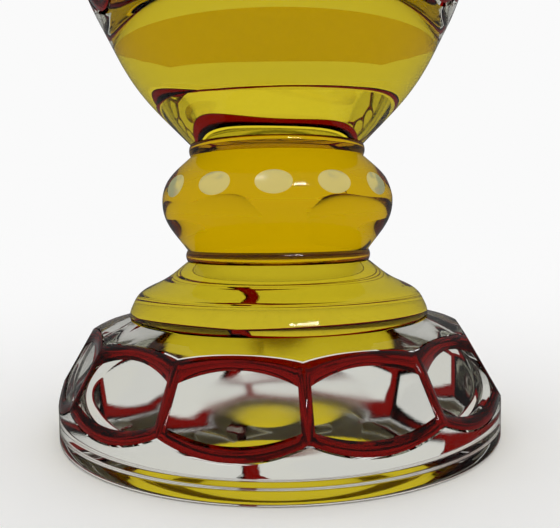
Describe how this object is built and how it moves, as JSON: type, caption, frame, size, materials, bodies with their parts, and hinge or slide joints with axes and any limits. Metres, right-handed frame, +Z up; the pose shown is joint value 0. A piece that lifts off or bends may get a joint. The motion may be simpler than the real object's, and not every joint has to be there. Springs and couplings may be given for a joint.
{
  "type": "covered vase",
  "caption": "Cut glass covered vase: round foot with flat ruby-bordered windows, amber knopped stem, thick tapering bowl and a domed lift-off cover.",
  "frame": {"origin": "centre of the face that the vase stands on", "axes": "+Z up along the axis of turning, -Y towards the viewer of the picture"},
  "size_m": [0.129, 0.129, 0.2923],
  "materials": {
    "clear_crystal": "polished clear lead crystal",
    "ruby_glass": "polished ruby layer with wheel-cut edges",
    "amber_glass": "polished amber-stained glass"
  },
  "bodies": {
    "vase": {"foot": "clear_crystal", "foot_ruby_layer": "ruby_glass", "foot_dome": "amber_glass", "lower_collar": "amber_glass", "stem_knop": "amber_glass", "upper_collar": "amber_glass", "bowl_base": "amber_glass", "bowl": "clear_crystal", "bowl_ruby_layer": "ruby_glass"},
    "cover": {"cover_dome": "clear_crystal", "cover_ruby_layer": "ruby_glass", "finial_collar": "amber_glass", "finial_knop": "amber_glass", "finial_spire": "clear_crystal"}
  },
  "joints": [
    {"name": "cover_lift", "type": "slide", "parent": "vase", "child": "cover", "axis": [0, 0, 1], "range_m": [0, 0.06]}
  ]
}
